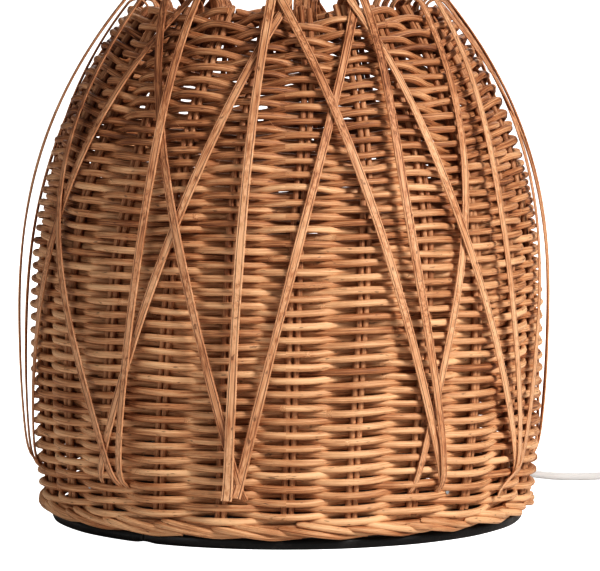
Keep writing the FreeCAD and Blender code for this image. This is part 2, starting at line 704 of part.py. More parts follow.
# ---------------------------------------------------------------- in-line switch

def rounded_block(length, width, height, level, name):
    """A block on the X axis from x = 0, with its upright corners rounded."""
    block = box(name, length, width, height, "0", f"-({width}) / 2", level)
    doc.recompute()
    rounded = doc.addObject("Part::Fillet", name + "_round")
    rounded.Base = block
    upright = [
        (i, size("SwitchRound"), size("SwitchRound"))
        for i, e in enumerate(block.Shape.Edges, start=1)
        if abs(e.tangentAt(e.FirstParameter).z) > 0.9
    ]
    rounded.Edges = upright
    return rounded


SWITCH_PLACE = Placement(Vector(SWITCH_START.x, SWITCH_START.y, 0),
                         Rotation(Vector(0, 0, 1), SWITCH_HEADING))
PIVOT_HIGH = size("SwitchBaseHigh") + size("SwitchCoverHigh") - size("PivotDepth")


def switch_housing():
    """Base and cover of the switch, hollow, with a window and bearings for the rocker."""
    wall, room = "Sizes.SwitchWall", "Sizes.RockerRoom"
    length, width = "Sizes.SwitchLength", "Sizes.SwitchWidth"
    base_block = rounded_block(length, width, "Sizes.SwitchBaseHigh", "0", "switch_base_block")
    hollow = box("switch_hollow", f"{length} - 2 * Sizes.SwitchEndWall", f"{width} - 2 * {wall}",
                 "Sizes.SwitchBaseHigh", "Sizes.SwitchEndWall", f"-({width}) / 2 + {wall}", wall)
    base = cut("switch_base", base_block, [hollow])
    cover_block = rounded_block(length, width, "Sizes.SwitchCoverHigh", "Sizes.SwitchBaseHigh",
                                "switch_cover_block")
    window = box("rocker_window", f"Sizes.RockerLength + 2 * {room}",
                 f"Sizes.RockerWidth + 2 * {room}", "3 * Sizes.SwitchCoverHigh",
                 f"({length}) / 2 - Sizes.RockerLength / 2 - {room}",
                 f"-Sizes.RockerWidth / 2 - {room}",
                 "Sizes.SwitchBaseHigh - Sizes.SwitchCoverHigh")
    bearing = doc.addObject("Part::Cylinder", "trunnion_bearing")
    bearing.setExpression("Radius", "Sizes.TrunnionRadius + Sizes.TrunnionRoom")
    reach = size("RockerWidth") + 2 * size("TrunnionReach") + 2 * size("RockerRoom")
    bearing.Height = reach
    bearing.Placement = Placement(Vector(size("SwitchLength") / 2, reach / 2, PIVOT_HIGH),
                                  Rotation(Vector(1, 0, 0), 90))
    cover = cut("switch_cover", cover_block, [window, bearing])
    doc.recompute()
    for part, label in ((base, "switch_base"), (cover, "switch_cover")):
        part.Placement = SWITCH_PLACE
        node(part, label)


def rocker():
    """Rocker with a hollow across its top and a trunnion each side, tipped to off."""
    half, wide = size("RockerLength") / 2, size("RockerWidth")
    top = size("PivotDepth") + size("RockerProud")
    low = top - size("RockerDeep")
    draft = size("RockerDraft")
    corners = [
        Vector(-half, 0, top), Vector(0, 0, top - size("RockerDip")), Vector(half, 0, top),
        Vector(half - draft, 0, low), Vector(draft - half, 0, low),
    ]
    face = Part.Face(Part.makePolygon(corners + corners[:1]))
    body = face.extrude(Vector(0, wide, 0))
    body.translate(Vector(0, -wide / 2, 0))
    reach = wide + 2 * size("TrunnionReach")
    pin = Part.makeCylinder(size("TrunnionRadius"), reach, Vector(0, -reach / 2, 0), Vector(0, 1, 0))
    shape = body.fuse(pin).removeSplitter()
    shape.rotate(Vector(), Vector(0, 1, 0), -size("RockerTilt"))
    shape.translate(Vector(size("SwitchLength") / 2, 0, PIVOT_HIGH))
    from_shape("rocker", shape, SWITCH_PLACE)


# ---------------------------------------------------------------- plug

PLUG_SHOULDER, PLUG_NOSE = 0.62, 0.86  # shares of the plug's length where it stops widening, narrowing
PLUG_FACE = 0.4  # half of the front face, as a share of the width


def plug():
    """Flat two-pin plug, lying on its side, its pins towards -Y."""
    half_tail, half_head = "Sizes.PlugTail / 2", "Sizes.PlugWidth / 2"
    shoulder, nose = f"-{PLUG_SHOULDER} * Sizes.PlugLength", f"-{PLUG_NOSE} * Sizes.PlugLength"
    body = padded("plug_body", [
        (f"-({half_tail})", "0"), (f"-({half_head})", shoulder), (f"-({half_head})", nose),
        (f"-{PLUG_FACE} * Sizes.PlugWidth", "-Sizes.PlugLength"),
        (f"{PLUG_FACE} * Sizes.PlugWidth", "-Sizes.PlugLength"),
        (half_head, nose), (half_head, shoulder), (half_tail, "0"),
    ], "Sizes.PlugThick")
    body.Placement = Placement(Vector(PLUG_REAR.x, PLUG_REAR.y, 0), Rotation())
    node(body, "plug_body")
    pins = []
    for side in (-1, 1):
        place = PLUG_REAR + Vector(side * size("PinPitch") / 2, -size("PlugLength"), 0)
        pins.append(Part.makeCylinder(size("PinRadius"), size("PinReach"), place, Vector(0, -1, 0)))
    from_shape("plug_pins", Part.makeCompound(pins))


weave_bands()
stake_sets()
strip_bunches()
foot_border()
base_board()
edging_strip()
brackets()
bracket_screws()
holder_base()
holder_insides()
holder_screws()
cord_grip()
inner_lead()
cord_runs()
cord_coil()
switch_housing()
rocker()
plug()
doc.recompute()

for thing in doc.Objects:
    if "Invalid" in thing.State or "Error" in thing.State:
        raise RuntimeError(f"{thing.Name} failed: {thing.State}")
os.makedirs("parts", exist_ok=True)
for thing in NODES:
    shape = thing.Shape
    if shape.isNull() or not shape.isValid() or not shape.Solids:
        raise RuntimeError(f"{thing.Label} has no valid solid")
    shape.exportStep(f"parts/{thing.Label}.step")
print(f"{len(NODES)} sub-parts, {sum(len(t.Shape.Solids) for t in NODES)} solids")
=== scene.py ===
"""Woven lamp shade on its black base: round cane weave, crossing flat strips, lampholder and cord.

Metres, +Z up, origin on the surface it stands on. Angles go round the shade in degrees from
the front, which is -Y, positive towards +X.
"""
import json
import math

import bmesh
import bpy
import numpy as np
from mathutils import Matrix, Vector

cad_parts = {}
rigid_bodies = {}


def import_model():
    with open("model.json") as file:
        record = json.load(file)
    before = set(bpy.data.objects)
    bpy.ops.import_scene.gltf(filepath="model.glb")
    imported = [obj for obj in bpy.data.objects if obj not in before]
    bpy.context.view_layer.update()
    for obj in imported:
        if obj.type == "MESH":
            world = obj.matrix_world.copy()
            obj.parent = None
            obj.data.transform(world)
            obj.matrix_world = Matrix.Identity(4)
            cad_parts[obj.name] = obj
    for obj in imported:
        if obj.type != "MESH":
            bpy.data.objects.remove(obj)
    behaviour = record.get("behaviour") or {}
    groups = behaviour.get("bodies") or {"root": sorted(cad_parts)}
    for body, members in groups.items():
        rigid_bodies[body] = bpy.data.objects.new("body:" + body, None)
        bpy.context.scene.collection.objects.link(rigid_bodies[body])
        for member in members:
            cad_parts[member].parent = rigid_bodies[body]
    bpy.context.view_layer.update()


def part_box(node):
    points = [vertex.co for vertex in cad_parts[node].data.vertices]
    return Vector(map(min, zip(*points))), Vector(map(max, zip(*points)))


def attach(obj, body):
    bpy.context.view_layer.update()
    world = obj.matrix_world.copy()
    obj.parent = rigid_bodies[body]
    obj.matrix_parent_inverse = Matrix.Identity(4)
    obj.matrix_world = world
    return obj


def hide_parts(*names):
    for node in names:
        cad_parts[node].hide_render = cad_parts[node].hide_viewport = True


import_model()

TAU = 2 * math.pi

# ---------------------------------------------------------------- sizes, shared with the frame

BANDS = 8
BAND_NAMES = [f"weave_band_{i + 1}" for i in range(BANDS)]
WEAVE_LOW = float(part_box("weave_band_1")[0][2])
WEAVE_HIGH = float(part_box(f"weave_band_{BANDS}")[1][2])
BELLY_RADIUS, BELLY_LEVEL = 0.1685, 0.115
RIM_RADIUS, RIM_LEVEL = 0.103, 0.335
SKIRT_RADIUS, SKIRT_LEVEL = 0.1635, 0.018
DOME_POWER, SKIRT_POWER = 2.65, 2
STAKE_PAIRS, STAKE_TURN = 24, math.radians(1.5)
STAKE_STEP = TAU / STAKE_PAIRS
STAKE_RADIUS, WEAVER_RADIUS = 0.0020, 0.00226
WALL = 0.0132  # from the outer face of the weave to the inner one
SWING = STAKE_RADIUS + WEAVER_RADIUS
COURSES = 76
FIRST_COURSE, LAST_COURSE = 0.0172, 0.3325

# ---------------------------------------------------------------- camera

VIEW_DISTANCE, VIEW_SIDE, VIEW_HIGH, VIEW_AIM = 2.237, 0.0085, 0.331, 0.151
VIEW_LENS, SENSOR_WIDTH = 205.0, 36.0  # in millimetres
camera_data = bpy.data.cameras.new("camera")
camera_data.lens = VIEW_LENS
camera_data.sensor_width = SENSOR_WIDTH
camera = bpy.data.objects.new("camera", camera_data)
bpy.context.collection.objects.link(camera)
camera.location = (VIEW_SIDE, -VIEW_DISTANCE, VIEW_HIGH)
aim = Vector((VIEW_SIDE, 0.0, VIEW_AIM)) - camera.location
camera.rotation_euler = aim.to_track_quat("-Z", "Y").to_euler()
bpy.context.scene.camera = camera


# ---------------------------------------------------------------- mesh helpers

def mesh_object(name, vertices, faces, material, uv=None, tone=None):
    """A smooth mesh object from arrays: points, quads, UV per corner and tone per point."""
    mesh = bpy.data.meshes.new(name)
    vertices = np.asarray(vertices, dtype=np.float32)
    faces = np.asarray(faces, dtype=np.int32)
    mesh.vertices.add(len(vertices))
    mesh.vertices.foreach_set("co", vertices.ravel())
    sides = faces.shape[1]
    mesh.loops.add(faces.size)
    mesh.loops.foreach_set("vertex_index", faces.ravel())
    mesh.polygons.add(len(faces))
    mesh.polygons.foreach_set("loop_start", np.arange(len(faces), dtype=np.int32) * sides)
    if uv is not None:
        layer = mesh.uv_layers.new(name="along")
        layer.data.foreach_set("uv", np.asarray(uv, dtype=np.float32).ravel())
    if tone is not None:
        attribute = mesh.attributes.new("tone", "FLOAT", "POINT")
        attribute.data.foreach_set("value", np.asarray(tone, dtype=np.float32))
    mesh.update(calc_edges=True)
    mesh.validate()
    mesh.polygons.foreach_set("use_smooth", np.full(len(mesh.polygons), True))
    mesh.materials.append(material)
    obj = bpy.data.objects.new(name, mesh)
    bpy.context.collection.objects.link(obj)
    return obj


def close_ends(piece, sharp):
    """Caps a piece's open ends, turns its faces outwards and keeps edges past sharp degrees."""
    built = bmesh.new()
    built.from_mesh(piece.data)
    bmesh.ops.holes_fill(built, edges=[e for e in built.edges if e.is_boundary])
    bmesh.ops.recalc_face_normals(built, faces=built.faces)
    built.to_mesh(piece.data)
    built.free()
    piece.data.set_sharp_from_angle(angle=math.radians(sharp))


def round_section(radius, sides=10):
    """A circle, from the inner side round: (across, outward) of each point."""
    turn = np.arange(sides) * TAU / sides
    return np.outer(radius, np.sin(turn)), -np.outer(radius, np.cos(turn))


FLAT_POWER = 0.6
GROOVE_PLACE, GROOVE_HALF, GROOVE_DEPTH = 0.40, 0.12, 0.30  # as shares of the half width


def flat_section(half_wide, half_thick, sides=20):
    """A flat strip whose outer face has two shallow grooves along it.

    It is an oval with its sine and cosine raised to FLAT_POWER, less a bell-shaped groove.
    """
    turn = np.arange(sides) * TAU / sides
    across = np.sign(np.sin(turn)) * np.abs(np.sin(turn)) ** FLAT_POWER
    outward = -np.sign(np.cos(turn)) * np.abs(np.cos(turn)) ** FLAT_POWER
    bell = np.exp(-((np.abs(across) - GROOVE_PLACE) / GROOVE_HALF) ** 2)
    groove = GROOVE_DEPTH * bell * (outward > 0)
    return np.outer(half_wide, across), np.outer(half_thick, outward - groove)


INNER_PAINTED_SHADE = 0.62  # painted shade: how much darker a cane's inner side is made, standing in for the shade between the canes


class Canes:
    """Gathers many canes into one mesh. Each is a closed section carried along its path."""

    def __init__(self):
        self.vertices, self.faces, self.uvs, self.tones = [], [], [], []
        self.count = 0

    def add(self, centre, across, outward, section, tone, closed=False):
        """Adds one cane.

        Point k of the section at station i is centre + across * x[i, k] + outward * y[i, k].
        The UV's u is the distance along the cane in metres and v runs once round the section.
        """
        n = len(centre)
        x, y = (np.broadcast_to(part, (n, part.shape[1])) for part in section)
        sides = x.shape[1]
        points = (centre[:, None, :] + across[:, None, :] * x[:, :, None]
                  + outward[:, None, :] * y[:, :, None]).reshape(-1, 3)
        steps = np.linalg.norm(np.diff(centre, axis=0, append=centre[:1]), axis=1)
        along = np.concatenate([[0.0], np.cumsum(steps)])
        i, k = np.meshgrid(np.arange(n if closed else n - 1), np.arange(sides), indexing="ij")
        j, m = (i + 1) % n, (k + 1) % sides
        quads = np.stack([i * sides + k, j * sides + k, j * sides + m, i * sides + m], -1)
        low, high = along[i], along[i + 1]
        v0, v1 = k / sides, (k + 1) / sides
        uv = np.stack([np.stack(pair, -1) for pair in
                       ((low, v0), (high, v0), (high, v1), (low, v1))], 2)
        faces, uvs = [quads.reshape(-1, 4)], [uv.reshape(-1, 2)]
        if not closed:
            k = np.arange(sides // 2 - 1)
            ladder = np.stack([k, k + 1, sides - 2 - k, sides - 1 - k], -1)
            faces += [ladder, ladder[:, ::-1] + (n - 1) * sides]
            uvs.append(np.tile([along[n - 1], 0.5], (ladder.size * 2, 1)))
        self.faces.append(np.vstack(faces) + self.count)
        self.uvs.append(np.vstack(uvs))
        self.vertices.append(points)
        # Each point's tone is the cane's own tone, less painted shade on the inner side of its
        # section.
        self.tones.append((np.broadcast_to(np.asarray(tone, float), (n,))[:, None]
                           - INNER_PAINTED_SHADE * smooth_step(-y / (np.abs(y).max() + 1e-9))).ravel())
        self.count += len(points)

    def build(self, name, material):
        """Puts the gathered canes into one piece."""
        obj = mesh_object(
            name, np.vstack(self.vertices), np.vstack(self.faces), material,
            uv=np.vstack(self.uvs), tone=np.concatenate(self.tones),
        )
        obj.data.set_sharp_from_angle(angle=math.radians(60))
        return obj


def frames(centre, outward_hint, closed=False):
    """Unit (across, outward) at each point of a path, outward nearest to the hint."""
    if closed:
        along = np.roll(centre, -1, axis=0) - np.roll(centre, 1, axis=0)
    else:
        along = np.gradient(centre, axis=0)
    along /= np.linalg.norm(along, axis=1)[:, None]
    outward = outward_hint - along * np.sum(outward_hint * along, axis=1)[:, None]
    outward /= np.linalg.norm(outward, axis=1)[:, None]
    return np.cross(along, outward), outward


def smooth_step(value):
    """Rises from 0 to 1 as 3 v squared less 2 v cubed, level at both ends."""
    value = np.clip(value, 0.0, 1.0)
    return value * value * (3 - 2 * value)


def around(angle, radius, level):
    """Points a radius from the middle, at an angle from the front and a level."""
    return np.stack([radius * np.sin(angle), -radius * np.cos(angle), level + 0 * angle], -1)


# ---------------------------------------------------------------- the shade's outline

def outline(level):
    """Radius and slope of the weave's outer face: a skirt below the belly, a dome above it."""
    level = np.asarray(level, dtype=float)
    up = np.clip((level - BELLY_LEVEL) / (RIM_LEVEL - BELLY_LEVEL), 0, None)
    down = np.clip((BELLY_LEVEL - level) / (BELLY_LEVEL - SKIRT_LEVEL), 0, None)
    rise, drop = BELLY_RADIUS - RIM_RADIUS, BELLY_RADIUS - SKIRT_RADIUS
    radius = BELLY_RADIUS - rise * up ** DOME_POWER - drop * down ** SKIRT_POWER
    slope = (
        -rise * DOME_POWER * up ** (DOME_POWER - 1) / (RIM_LEVEL - BELLY_LEVEL)
        + drop * SKIRT_POWER * down ** (SKIRT_POWER - 1) / (BELLY_LEVEL - SKIRT_LEVEL)
    )
    return radius, slope


def on_wall(angle, level, depth):
    """Points a depth inside the outer face, square to it, and the outward unit vectors there."""
    radius, slope = outline(level)
    length = np.sqrt(1 + slope ** 2)
    out_r, out_z = 1 / length, -slope / length
    r = radius - depth * out_r
    z = level - depth * out_z
    s, c = np.sin(angle), -np.cos(angle)
    points = np.stack([r * s, r * c, z], -1)
    outward = np.stack([out_r * s, out_r * c, out_z + 0 * r], -1)
    return points, outward


def waves(seed, count, highest, rows=0.0):
    """A smooth random field over angle and level: a sum of cosines that close round the shade."""
    rng = np.random.default_rng(seed)
    turns = rng.integers(1, highest + 1, count)
    climbs = rng.normal(0, rows, count)
    phases = rng.uniform(0, TAU, count)
    sizes = rng.normal(0, 1, count) / np.sqrt(count) * 1.4

    def field(angle, level=0.0):
        angle, level = np.broadcast_arrays(np.asarray(angle, float), np.asarray(level, float))
        waves_here = (turns[:, None] * angle.ravel() + climbs[:, None] * level.ravel()
                      + phases[:, None])
        return (sizes @ np.cos(waves_here)).reshape(angle.shape)

    return field


SAG = waves(11, 14, 7, rows=22.0)       # slow rise and fall shared by neighbouring courses
LOOSE = waves(12, 18, 14, rows=60.0)    # where courses crowd together or gape
STAKE_LEAN = waves(13, 8, 5, rows=14.0)
STAKE_TWIST, STAKE_TWIST_START = np.radians(4.2), np.radians(1.2)


LOOSE_FROM, LOOSE_OVER = 0.13, 0.19


def looseness(level):
    """0 in the tight lower weave, 1 in the loose courses near the rim."""
    return smooth_step((np.asarray(level, float) - LOOSE_FROM) / LOOSE_OVER)


STEADY_TOP = 0.3335  # the courses run almost level just below the rim


def course_shift(angle, level):
    """How far the courses at a level wander up or down from it."""
    loose = looseness(level)
    edge = smooth_step((STEADY_TOP - np.asarray(level, float)) / 0.02) * 0.85 + 0.15
    return (SAG(angle, level) * (0.0007 + 0.0013 * loose)
            + LOOSE(angle, level) * (0.00028 + 0.00042 * loose)) * edge


# ---------------------------------------------------------------- materials

def linear(red, green, blue):
    """A colour given as 0 to 255 on a screen, as linear light."""
    share = np.array([red, green, blue]) / 255
    return (*np.where(share <= 0.04045, share / 12.92, ((share + 0.055) / 1.055) ** 2.4), 1.0)


def new_group(name, inputs, outputs):
    """A shader node group with sockets given as (name, kind, value), and its two end nodes."""
    group = bpy.data.node_groups.new(name, "ShaderNodeTree")
    for kind, sockets in (("INPUT", inputs), ("OUTPUT", outputs)):
        for label, form, value in sockets:
            socket = group.interface.new_socket(label, in_out=kind, socket_type=form)
            if value is not None:
                socket.default_value = value
    return group, group.nodes.new("NodeGroupInput"), group.nodes.new("NodeGroupOutput")


def math_node(tree, operation, first, second=0.0):
    """One sum on two numbers or sockets."""
    node = tree.nodes.new("ShaderNodeMath")
    node.operation = operation
    for socket, value in zip(node.inputs, (first, second)):
        if isinstance(value, (int, float)):
            socket.default_value = value
        else:
            tree.links.new(value, socket)
    return node.outputs[0]


def mix_colours(tree, factor, first, second):
    """The first colour where the factor is 0, the second where it is 1."""
    node = tree.nodes.new("ShaderNodeMix")
    node.data_type = "RGBA"
    for socket, value in zip((node.inputs[0], node.inputs[6], node.inputs[7]),
                             (factor, first, second)):
        if hasattr(value, "links"):
            tree.links.new(value, socket)
        else:
            socket.default_value = value
    return node.outputs[2]


def noise(tree, vector, scale, detail=3.0, roughness=0.5):
    """A cloudy pattern from 0 to 1; the scale may be a socket."""
    node = tree.nodes.new("ShaderNodeTexNoise")
    if hasattr(scale, "links"):
        tree.links.new(scale, node.inputs["Scale"])
    else:
        node.inputs["Scale"].default_value = scale
    node.inputs["Detail"].default_value = detail
    node.inputs["Roughness"].default_value = roughness
    tree.links.new(vector, node.inputs["Vector"])
    return node.outputs["Fac"]


def stretch(tree, vector, scale):
    """The vector times a scale for each axis."""
    node = tree.nodes.new("ShaderNodeMapping")
    node.inputs["Scale"].default_value = scale
    tree.links.new(vector, node.inputs["Vector"])
    return node.outputs["Vector"]


def band(tree, value, low, high, to_low=0.0, to_high=1.0):
    """Maps a value from low..high to to_low..to_high, held at the ends."""
    node = tree.nodes.new("ShaderNodeMapRange")
    for label, number in (("From Min", low), ("From Max", high),
                          ("To Min", to_low), ("To Max", to_high)):
        node.inputs[label].default_value = number
    tree.links.new(value, node.inputs["Value"])
    return node.outputs["Result"]


def cane_grain_group():
    """Colour and relief of peeled cane: fibres along it, blotches, and short dark flecks."""
    group, given, result = new_group(
        "cane_grain",
        [("Along", "NodeSocketVector", None), ("Place", "NodeSocketVector", None),
         ("Tone", "NodeSocketFloat", 0.0), ("Light", "NodeSocketColor", None),
         ("Middle", "NodeSocketColor", None), ("Dark", "NodeSocketColor", None),
         ("Ruddy", "NodeSocketFloat", 0.0)],
        [("Color", "NodeSocketColor", None), ("Height", "NodeSocketFloat", None),
         ("Roughness", "NodeSocketFloat", None)],
    )
    add = group.nodes.new("ShaderNodeVectorMath")
    spread = group.nodes.new("ShaderNodeCombineXYZ")
    group.links.new(math_node(group, "MULTIPLY", given.outputs["Tone"], 37.0), spread.inputs[2])
    group.links.new(given.outputs["Along"], add.inputs[0])
    group.links.new(spread.outputs[0], add.inputs[1])
    along = add.outputs[0]
    fibres = noise(group, stretch(group, along, (34, 26, 1)), 1.0, 5.0, 0.66)
    streaks = noise(group, stretch(group, along, (9, 5, 1)), 1.0, 2.0)
    flecks = noise(group, stretch(group, along, (170, 9, 1)), 1.0, 2.0, 0.4)
    blotch = noise(group, given.outputs["Place"], 34.0, 3.0)
    shade = math_node(group, "ADD", math_node(group, "MULTIPLY", given.outputs["Tone"], 0.36),
                      math_node(group, "MULTIPLY", band(group, fibres, 0.36, 0.64), 0.62))
    shade = math_node(group, "ADD", shade,
                      math_node(group, "MULTIPLY", band(group, streaks, 0.3, 0.7), 0.30))
    shade = math_node(group, "ADD", shade,
                      math_node(group, "MULTIPLY", band(group, blotch, 0.3, 0.7), 0.26))
    shade = math_node(group, "SUBTRACT", shade,
                      math_node(group, "ADD", given.outputs["Ruddy"], 0.09))
    lower = band(group, shade, -0.15, 0.42)  # from dark to middle, then from middle to light
    upper = band(group, shade, 0.36, 0.95)
    colour = mix_colours(group, lower, given.outputs["Dark"], given.outputs["Middle"])
    colour = mix_colours(group, upper, colour, given.outputs["Light"])
    mark = band(group, flecks, 0.66, 0.74, 0.0, 0.62)
    colour = mix_colours(group, mark, colour, linear(78, 40, 20))
    group.links.new(colour, result.inputs["Color"])
    relief = math_node(group, "SUBTRACT", fibres, math_node(group, "MULTIPLY", mark, 0.5))
    group.links.new(relief, result.inputs["Height"])
    group.links.new(band(group, fibres, 0.2, 0.8, 0.42, 0.66), result.inputs["Roughness"])
    return group


def principled(name, roughness=0.5, metallic=0.0, colour=None, coat=0.0):
    """A material and its shader, with what is the same all over set on the shader itself."""
    material = bpy.data.materials.new(name)
    material.use_nodes = True
    shader = material.node_tree.nodes["Principled BSDF"]
    shader.inputs["Roughness"].default_value = roughness
    shader.inputs["Metallic"].default_value = metallic
    shader.inputs["Coat Weight"].default_value = coat
    if colour is not None:
        shader.inputs["Base Color"].default_value = colour
    return material, shader


def add_bump(tree, shader, height, distance, strength):
    """Fine relief: the height of 1 stands a distance proud of 0."""
    bump = tree.nodes.new("ShaderNodeBump")
    bump.inputs["Distance"].default_value = distance
    bump.inputs["Strength"].default_value = strength
    tree.links.new(height, bump.inputs["Height"])
    tree.links.new(bump.outputs["Normal"], shader.inputs["Normal"])


CANE_GRAIN = cane_grain_group()
OUTER_MIDDLE, GROOVE_LINE = 0.5, 0.068  # shares of the way round a strip's section


def cane_material(name, light, middle, dark, ruddy_top, grooves=False):
    """Cane that turns darker and redder from the belly up towards the rim."""
    material, shader = principled(name)
    tree = material.node_tree
    shader.inputs["Specular IOR Level"].default_value = 0.42
    grain = tree.nodes.new("ShaderNodeGroup")
    grain.node_tree = CANE_GRAIN
    for label, colour in (("Light", light), ("Middle", middle), ("Dark", dark)):
        grain.inputs[label].default_value = colour
    place = tree.nodes.new("ShaderNodeTexCoord")
    chart = tree.nodes.new("ShaderNodeUVMap")
    chart.uv_map = "along"
    # The tone attribute holds each cane's own tone less the painted shade on its inner side.
    tone = tree.nodes.new("ShaderNodeAttribute")
    tone.attribute_name = "tone"
    split = tree.nodes.new("ShaderNodeSeparateXYZ")
    tree.links.new(place.outputs["Object"], split.inputs[0])
    tree.links.new(chart.outputs["UV"], grain.inputs["Along"])
    tree.links.new(place.outputs["Object"], grain.inputs["Place"])
    tree.links.new(tone.outputs["Fac"], grain.inputs["Tone"])
    tree.links.new(band(tree, split.outputs["Z"], 0.13, 0.30, 0.0, ruddy_top),
                   grain.inputs["Ruddy"])
    colour, height = grain.outputs["Color"], grain.outputs["Height"]
    if grooves:
        parts = tree.nodes.new("ShaderNodeSeparateXYZ")
        tree.links.new(chart.outputs["UV"], parts.inputs[0])
        from_middle = math_node(tree, "SUBTRACT", parts.outputs["Y"], OUTER_MIDDLE)
        away = math_node(tree, "ABSOLUTE", from_middle)
        line = math_node(tree, "ABSOLUTE", math_node(tree, "SUBTRACT", away, GROOVE_LINE))
        ragged = noise(tree, stretch(tree, chart.outputs["UV"], (30, 3, 1)), 1.0, 3.0)
        depth = math_node(tree, "MULTIPLY", band(tree, line, 0.004, 0.022, 1.0, 0.0),
                          band(tree, ragged, 0.32, 0.56, 0.40, 1.0))
        # Painted shade: along the grooves the colour goes towards the dark colour, where the
        # height also drops.
        colour = mix_colours(tree, depth, colour, dark)
        height = math_node(tree, "SUBTRACT", height, depth)
    tree.links.new(colour, shader.inputs["Base Color"])
    tree.links.new(grain.outputs["Roughness"], shader.inputs["Roughness"])
    add_bump(tree, shader, height, 0.00035, 0.7)
    return material


WEAVER_CANE = cane_material("weaver_cane", linear(236, 192, 150), linear(182, 125, 85),
                            linear(70, 23, 4), 0.30)
STAKE_CANE = cane_material("stake_cane", linear(214, 164, 124), linear(156, 101, 66),
                           linear(62, 20, 4), 0.22)
STRIP_CANE = cane_material("strip_cane", linear(230, 183, 144), linear(190, 132, 93),
                           linear(86, 38, 13), 0.24, grooves=True)


def finish_wear_group():
    """Handling and age, shared by every moulded, painted or plated finish.

    It gives rubbed spots, a roughness that wanders between two values and a fine grain's height.
    """
    group, given, result = new_group(
        "finish_wear",
        [("Place", "NodeSocketVector", None), ("Grain", "NodeSocketFloat", 700.0),
         ("Fresh", "NodeSocketColor", None), ("Worn", "NodeSocketColor", None),
         ("Smoothest", "NodeSocketFloat", 0.3), ("Roughest", "NodeSocketFloat", 0.5)],
        [("Color", "NodeSocketColor", None), ("Roughness", "NodeSocketFloat", None),
         ("Height", "NodeSocketFloat", None)],
    )
    patchy = band(group, noise(group, given.outputs["Place"], 45.0, 4.0, 0.6), 0.3, 0.7)
    reach = math_node(group, "SUBTRACT", given.outputs["Roughest"], given.outputs["Smoothest"])
    wandering = math_node(group, "ADD", given.outputs["Smoothest"],
                          math_node(group, "MULTIPLY", patchy, reach))
    smears = noise(group, given.outputs["Place"], 70.0, 5.0, 0.65)
    rubbed = band(group, smears, 0.56, 0.78, 0.0, 0.75)
    grain = noise(group, given.outputs["Place"], given.outputs["Grain"], 2.0)
    group.links.new(mix_colours(group, rubbed, given.outputs["Fresh"], given.outputs["Worn"]),
                    result.inputs["Color"])
    group.links.new(wandering, result.inputs["Roughness"])
    group.links.new(grain, result.inputs["Height"])
    return group


FINISH_WEAR = finish_wear_group()


def fine_relief_material(name, colour, roughness, spread, grain_scale, grain_height, worn,
                         metallic=0.0, coat=0.0):
    """A moulded, painted or plated finish, worn by the shared wear group."""
    material, shader = principled(name, roughness, metallic, colour, coat)
    tree = material.node_tree
    wear = tree.nodes.new("ShaderNodeGroup")
    wear.node_tree = FINISH_WEAR
    for label, value in (("Grain", grain_scale), ("Fresh", colour), ("Worn", worn),
                         ("Smoothest", roughness - spread), ("Roughest", roughness + spread)):
        wear.inputs[label].default_value = value
    tree.links.new(tree.nodes.new("ShaderNodeTexCoord").outputs["Object"], wear.inputs["Place"])
    tree.links.new(wear.outputs["Color"], shader.inputs["Base Color"])
    tree.links.new(wear.outputs["Roughness"], shader.inputs["Roughness"])
    add_bump(tree, shader, wear.outputs["Height"], grain_height, 0.6)
    return material


EDGING = fine_relief_material("black_edging", linear(13, 12, 13), 0.40, 0.14, 700.0, 0.0003,
                              worn=linear(66, 63, 62))
BOARD = fine_relief_material("black_paint", linear(26, 25, 25), 0.6, 0.1, 420.0, 0.0002,
                             worn=linear(48, 45, 43))
ZINC = fine_relief_material("zinc_plate", linear(178, 180, 182), 0.34, 0.12, 600.0, 0.0001,
                            worn=linear(150, 146, 138), metallic=1.0)
BRASS = fine_relief_material("brass", linear(206, 168, 98), 0.28, 0.08, 500.0, 0.00006,
                             worn=linear(150, 112, 60), metallic=1.0)
NICKEL = fine_relief_material("nickel", linear(206, 204, 200), 0.2, 0.06, 500.0, 0.00004,
                              worn=linear(176, 170, 160), metallic=1.0)
BLACK_PLASTIC = fine_relief_material("moulded_black", linear(28, 28, 29), 0.46, 0.06, 1400.0,
                                     0.00008, worn=linear(44, 44, 45))
PORCELAIN = fine_relief_material("glazed_porcelain", linear(236, 233, 224), 0.18, 0.05, 240.0,
                                 0.00005, worn=linear(214, 208, 194), coat=0.6)
WHITE_PLASTIC = fine_relief_material("moulded_white", linear(240, 240, 238), 0.36, 0.05, 1300.0,
                                     0.00006, worn=linear(228, 227, 222))
WHITE_SHEATH = fine_relief_material("white_sheath", linear(238, 238, 238), 0.45, 0.06, 1100.0,
                                    0.00008, worn=linear(226, 225, 221))


# ---------------------------------------------------------------- weave

BACK_SPREAD = 0.28  # how much wider a course is pressed where it passes behind the stakes
COURSE_PITCH = (LAST_COURSE - FIRST_COURSE) / (COURSES - 1)
STATIONS = STAKE_PAIRS * 12
LAST_COURSE_SPANS = [(15.0, 118.0), (124.0, 232.0), (238.0, 339.2), (-17.4, 1.5)]  # degrees


def course_path(course, angle):
    """Points of one course: it swings out over one pair of stakes and in behind the next.

    The depth is half the wall less the swing times a cosine of twelve turns, flattened a little
    at its ends. Neighbouring courses swing opposite ways. It also gives the swing, from -1 behind
    a pair to 1 in front of one.
    """
    level = FIRST_COURSE + course * COURSE_PITCH
    own = waves(1000 + course, 10, 18)
    loose = looseness(level)
    lean = stake_lean(angle, level)
    sway = np.cos((angle - STAKE_TURN - lean) * STAKE_PAIRS / 2) * (-1) ** (course + 1)
    sway = sway * (1.22 - 0.22 * sway ** 2)
    depth = WALL / 2 - SWING * sway + own(angle) * (0.00016 + 0.00030 * loose)
    heights = level + course_shift(angle, level) + own(angle + 1.0) * (0.00022 + 0.00030 * loose)
    return *on_wall(angle, heights, depth), sway


